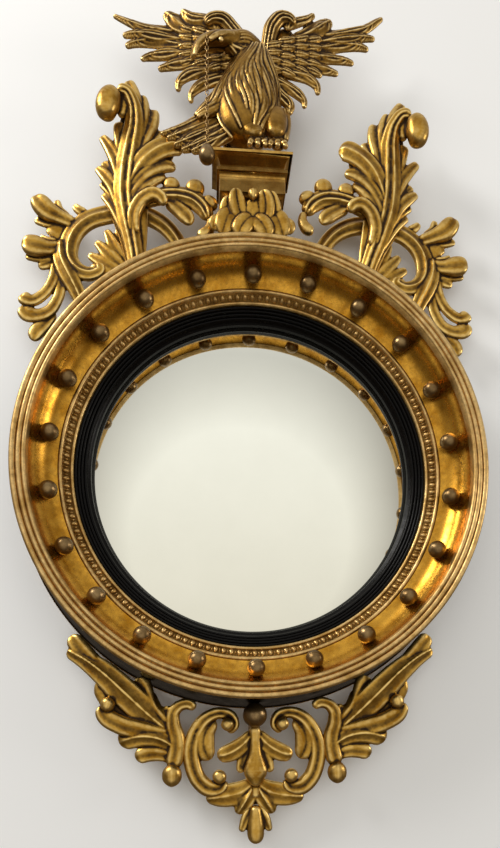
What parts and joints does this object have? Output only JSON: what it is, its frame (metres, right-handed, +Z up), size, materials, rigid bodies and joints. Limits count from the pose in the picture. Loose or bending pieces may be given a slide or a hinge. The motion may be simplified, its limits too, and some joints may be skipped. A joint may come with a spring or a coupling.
{
  "type": "girandole mirror",
  "caption": "Round convex wall mirror in a gilt cove frame with balls, a carved scroll crest under an eagle that holds a drop on a chain, and a carved leaf apron.",
  "frame": {"origin": "centre of the round frame, on the wall plane at its back", "axes": "X to the right as seen from the front, +Y back into the wall, Z up; the front faces -Y"},
  "size_m": [0.6424, 0.109, 1.1835],
  "materials": {
    "back_ring": "ebonised pine, satin, gilt at the wall edge",
    "cavetto_moulding": "burnished water gilding over red bole",
    "reeded_rim": "water gilding, rubbed on the reeds",
    "carved_band": "water gilding, patina in the carving",
    "ebonised_slip": "ebonised, satin polish",
    "convex_glass": "silvered convex glass",
    "glass_blocks": "softwood",
    "backboard": "aged pine",
    "backboard_screws": "aged steel",
    "hanging_plate": "aged brass",
    "hanging_plate_screws": "aged brass",
    "cavetto_balls": "gilt, dulled to bronze",
    "crest_spray_left": "water gilt over gesso, rubbed, brown patina in the recesses",
    "crest_spray_right": "water gilt over gesso, rubbed, brown patina in the recesses",
    "crest_scroll_left": "water gilt over gesso, rubbed, brown patina in the recesses",
    "crest_scroll_right": "water gilt over gesso, rubbed, brown patina in the recesses",
    "crest_fan_left": "water gilt over gesso, rubbed, brown patina in the recesses",
    "crest_fan_right": "water gilt over gesso, rubbed, brown patina in the recesses",
    "crest_pegs": "beech",
    "crest_batten": "aged pine",
    "crest_batten_screws": "aged steel",
    "pedestal_acanthus": "water gilt over gesso, rubbed, brown patina in the recesses",
    "plinth_block": "dark bronzed paint over gesso",
    "plinth_cap": "water gilt over gesso, rubbed, brown patina in the recesses",
    "eagle_body": "gilt carving, darkened, brown in the recesses",
    "eagle_legs": "gilt carving, darkened, brown in the recesses",
    "eagle_tail": "gilt carving, darkened, brown in the recesses",
    "eagle_wing_left": "gilt carving, darkened, brown in the recesses",
    "eagle_wing_right": "gilt carving, darkened, brown in the recesses",
    "beak_staple": "gilt brass wire",
    "apron_spray_left": "water gilt over gesso, rubbed, brown patina in the recesses",
    "apron_spray_right": "water gilt over gesso, rubbed, brown patina in the recesses",
    "apron_scroll_left": "water gilt over gesso, rubbed, brown patina in the recesses",
    "apron_scroll_right": "water gilt over gesso, rubbed, brown patina in the recesses",
    "apron_ball": "water gilt over gesso, rubbed, brown patina in the recesses",
    "apron_drop": "water gilt over gesso, rubbed, brown patina in the recesses",
    "apron_lower_leaves": "water gilt over gesso, rubbed, brown patina in the recesses",
    "apron_pendant": "water gilt over gesso, rubbed, brown patina in the recesses",
    "apron_pegs": "beech",
    "apron_batten": "aged pine",
    "apron_batten_screws": "aged steel",
    "chain_top_link": "gilt brass wire",
    "chain_upper": "gilt brass wire",
    "chain_lower": "gilt brass wire",
    "drop_eye": "gilt brass wire",
    "drop_ball": "gilt turned wood"
  },
  "bodies": {
    "root": {"back_ring": "back_ring", "cavetto_moulding": "cavetto_moulding", "reeded_rim": "reeded_rim", "carved_band": "carved_band", "ebonised_slip": "ebonised_slip", "convex_glass": "convex_glass", "glass_blocks": "glass_blocks", "backboard": "backboard", "backboard_screws": "backboard_screws", "hanging_plate": "hanging_plate", "hanging_plate_screws": "hanging_plate_screws", "cavetto_balls": "cavetto_balls", "crest_spray_left": "crest_spray_left", "crest_spray_right": "crest_spray_right", "crest_scroll_left": "crest_scroll_left", "crest_scroll_right": "crest_scroll_right", "crest_fan_left": "crest_fan_left", "crest_fan_right": "crest_fan_right", "crest_pegs": "crest_pegs", "crest_batten": "crest_batten", "crest_batten_screws": "crest_batten_screws", "pedestal_acanthus": "pedestal_acanthus", "plinth_block": "plinth_block", "plinth_cap": "plinth_cap", "eagle_body": "eagle_body", "eagle_legs": "eagle_legs", "eagle_tail": "eagle_tail", "eagle_wing_left": "eagle_wing_left", "eagle_wing_right": "eagle_wing_right", "beak_staple": "beak_staple", "apron_spray_left": "apron_spray_left", "apron_spray_right": "apron_spray_right", "apron_scroll_left": "apron_scroll_left", "apron_scroll_right": "apron_scroll_right", "apron_ball": "apron_ball", "apron_drop": "apron_drop", "apron_lower_leaves": "apron_lower_leaves", "apron_pendant": "apron_pendant", "apron_pegs": "apron_pegs", "apron_batten": "apron_batten", "apron_batten_screws": "apron_batten_screws"},
    "chain_top_link": {"chain_top_link": "chain_top_link"},
    "chain_upper": {"chain_upper": "chain_upper"},
    "chain_lower": {"chain_lower": "chain_lower"},
    "drop": {"drop_eye": "drop_eye", "drop_ball": "drop_ball"}
  },
  "joints": [
    {"name": "chain_side", "type": "hinge", "parent": "root", "child": "chain_top_link", "pos_m": [-0.062, -0.098, 0.58055], "axis": [0, -1, 0], "range_deg": [-12, 30]},
    {"name": "chain_forward", "type": "hinge", "parent": "chain_top_link", "child": "chain_upper", "pos_m": [-0.062, -0.098, 0.5751], "axis": [-1, 0, 0], "range_deg": [0, 25]},
    {"name": "chain_bend", "type": "hinge", "parent": "chain_upper", "child": "chain_lower", "pos_m": [-0.062, -0.098, 0.50425], "axis": [0, -1, 0], "range_deg": [-20, 20]},
    {"name": "drop_swing", "type": "hinge", "parent": "chain_lower", "child": "drop", "pos_m": [-0.062, -0.098, 0.4334], "axis": [-1, 0, 0], "range_deg": [-5, 20]}
  ]
}
